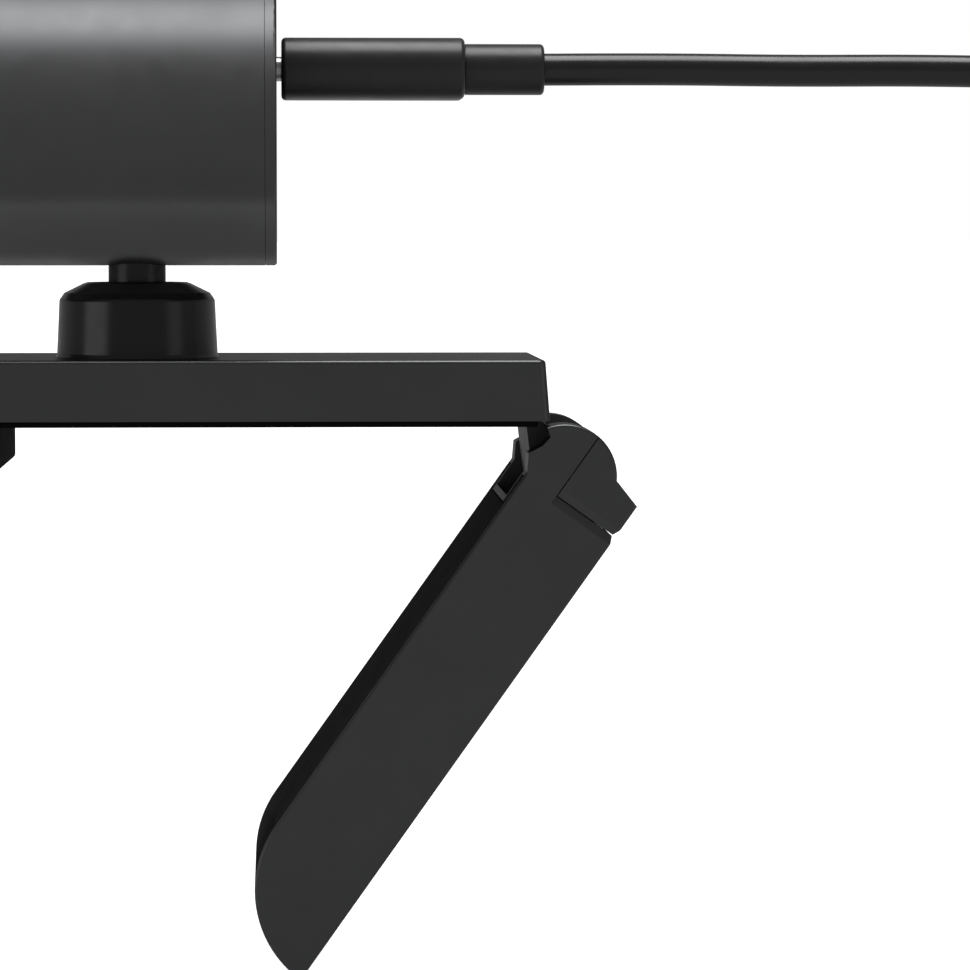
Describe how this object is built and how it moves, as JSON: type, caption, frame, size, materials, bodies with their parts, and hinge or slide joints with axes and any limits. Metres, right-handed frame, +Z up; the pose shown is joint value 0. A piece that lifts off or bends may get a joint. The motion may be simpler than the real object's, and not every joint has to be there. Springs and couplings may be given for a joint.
{
  "type": "cylindrical webcam with monitor clip",
  "caption": "Cylindrical metal webcam on a ball joint and a flat monitor clip with a hooked front lip and a folding rear leg, with a detachable data cord at the back.",
  "frame": {"origin": "on the underside of the clip's rubber pad, straight below the centre of the ball joint", "axes": "+Z up, -X the way the lens looks, +Y across the clip"},
  "size_m": [0.271, 0.0544, 0.1169],
  "materials": {
    "anodised_aluminium": "satin dark anodised",
    "black_gloss_plastic": "gloss black",
    "black_plastic": "fine matt black",
    "plug_plastic": "satin black",
    "pad_rubber": "matt black",
    "cord_jacket": "satin black",
    "stem_steel": "dark plated",
    "steel": "plated",
    "cup_plastic": "natural low-friction plastic",
    "brass": "machined",
    "circuit_board": "solder mask",
    "chip": "matt",
    "heat_pad_grey": "soft",
    "bare_aluminium": "mill finish",
    "front_window": "smoked, polished",
    "lens_glass": "coated",
    "light_clear": "frosted"
  },
  "bodies": {
    "clip_base": {"plate_cover": "anodised_aluminium", "plate_base": "black_plastic", "clip_pad": "pad_rubber", "front_lip": "black_plastic", "lip_pad": "pad_rubber", "base_screws": "steel", "tripod_insert": "brass", "hinge_block": "black_plastic", "hinge_block_screws": "steel", "friction_clips": "steel", "socket_housing": "black_gloss_plastic", "ring_nut": "steel", "disc_springs": "steel"},
    "leg": {"leg_shell": "anodised_aluminium", "leg_heel_cap": "anodised_aluminium", "heel_screws": "steel", "hinge_pin": "steel", "leg_pad_plate": "steel", "leg_plate_screws": "steel", "leg_pad": "pad_rubber"},
    "cup": {"friction_cup": "cup_plastic"},
    "ball": {"ball_stem": "stem_steel", "stem_washer": "steel", "stem_screw": "steel"},
    "camera": {"barrel_shell": "anodised_aluminium", "rear_ring": "anodised_aluminium", "rear_cover": "black_plastic", "usb_socket": "steel", "front_ring": "anodised_aluminium", "front_glass": "front_window", "lens_trim": "black_plastic", "focus_motor": "black_plastic", "image_sensor": "chip", "sensor_board": "circuit_board", "stem_saddle": "black_plastic", "inner_chassis": "black_plastic", "main_board": "circuit_board", "board_screws": "steel", "image_processor": "chip", "heat_pad": "heat_pad_grey", "heat_spreader": "bare_aluminium", "front_board": "circuit_board", "front_carrier": "black_plastic", "microphones": "steel", "status_light": "light_clear", "light_pipe": "light_clear", "usb_plug_shell": "steel", "plug_overmould": "plug_plastic", "strain_relief": "plug_plastic", "cord_tube": "cord_jacket", "cord_coil": "cord_jacket", "cable_tie": "cord_jacket", "usb_a_overmould": "plug_plastic", "usb_a_metal": "steel"},
    "lens": {"lens_barrel": "black_plastic", "front_lens": "lens_glass", "rear_lens": "lens_glass"}
  },
  "joints": [
    {"name": "leg_fold", "type": "hinge", "parent": "clip_base", "child": "leg", "pos_m": [0.045, 0, -0.0052], "axis": [0, -1, 0], "range_deg": [-54.6, 65.4]},
    {"name": "ball_pan", "type": "hinge", "parent": "clip_base", "child": "cup", "pos_m": [0, 0, 0.0104], "axis": [0, 0, 1], "continuous": true},
    {"name": "ball_tilt", "type": "hinge", "parent": "cup", "child": "ball", "pos_m": [0, 0, 0.0104], "axis": [0, 1, 0], "range_deg": [-15, 15]},
    {"name": "camera_swivel", "type": "hinge", "parent": "ball", "child": "camera", "pos_m": [0, 0, 0.0204], "axis": [0, 0, 1], "continuous": true},
    {"name": "lens_focus", "type": "slide", "parent": "camera", "child": "lens", "axis": [-1, 0, 0], "range_m": [0, 0.0004], "stiffness_N_per_m": 60}
  ]
}
